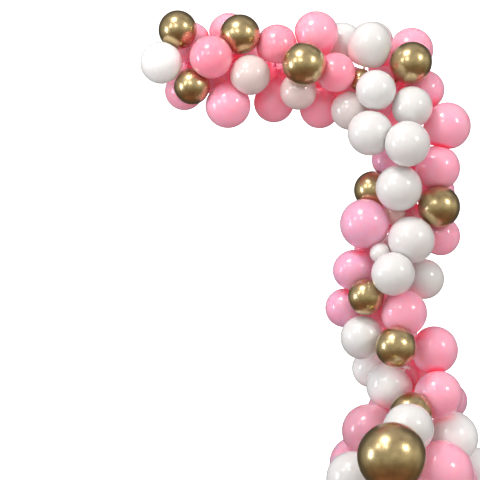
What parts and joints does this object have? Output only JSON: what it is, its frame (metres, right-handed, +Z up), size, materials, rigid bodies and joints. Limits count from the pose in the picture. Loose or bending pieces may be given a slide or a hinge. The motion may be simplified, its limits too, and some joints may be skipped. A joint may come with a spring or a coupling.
{
  "type": "balloon garland",
  "caption": "Organic garland of pink, white and gold latex balloons on a flexible strip, with a side arm, a column and a heavy foot, hung to frame a doorway or backdrop.",
  "frame": {"origin": "middle of the flat on the strip's underside that lies over the hook at the corner", "axes": "+Z up, +X from the free end of the arm towards the column, -Y out of the wall towards the viewer"},
  "size_m": [1.7841, 1.1787, 2.4916],
  "materials": {
    "pink_latex": "glossy pink latex",
    "white_latex": "pearl white latex",
    "gold_latex": "mirror-like metallic gold latex",
    "strip_plastic": "clear flexible plastic"
  },
  "bodies": {
    "root": {"gold_balloon_01": "gold_latex", "gold_balloon_02": "gold_latex", "gold_balloon_03": "gold_latex", "gold_balloon_04": "gold_latex", "gold_balloon_05": "gold_latex", "gold_balloon_06": "gold_latex", "gold_balloon_07": "gold_latex", "gold_balloon_08": "gold_latex", "gold_balloon_09": "gold_latex", "gold_balloon_10": "gold_latex", "gold_balloon_11": "gold_latex", "gold_balloon_12": "gold_latex", "pink_balloon_01": "pink_latex", "pink_balloon_02": "pink_latex", "pink_balloon_03": "pink_latex", "pink_balloon_04": "pink_latex", "pink_balloon_05": "pink_latex", "pink_balloon_06": "pink_latex", "pink_balloon_07": "pink_latex", "pink_balloon_08": "pink_latex", "pink_pair_01": "pink_latex", "pink_pair_02": "pink_latex", "pink_pair_03": "pink_latex", "pink_pair_04": "pink_latex", "pink_pair_05": "pink_latex", "pink_pair_06": "pink_latex", "pink_pair_07": "pink_latex", "pink_pair_08": "pink_latex", "pink_pair_09": "pink_latex", "pink_pair_10": "pink_latex", "pink_pair_11": "pink_latex", "pink_pair_12": "pink_latex", "pink_trio_01": "pink_latex", "pink_trio_02": "pink_latex", "pink_trio_03": "pink_latex", "pink_trio_04": "pink_latex", "pink_trio_05": "pink_latex", "strip": "strip_plastic", "white_balloon_01": "white_latex", "white_balloon_02": "white_latex", "white_balloon_03": "white_latex", "white_balloon_04": "white_latex", "white_balloon_05": "white_latex", "white_balloon_06": "white_latex", "white_balloon_07": "white_latex", "white_balloon_08": "white_latex", "white_balloon_09": "white_latex", "white_balloon_10": "white_latex", "white_balloon_11": "white_latex", "white_balloon_12": "white_latex", "white_balloon_13": "white_latex", "white_balloon_14": "white_latex", "white_balloon_15": "white_latex", "white_pair_01": "white_latex", "white_pair_02": "white_latex", "white_pair_03": "white_latex", "white_pair_04": "white_latex", "white_pair_05": "white_latex", "white_trio_01": "white_latex"}
  },
  "joints": []
}
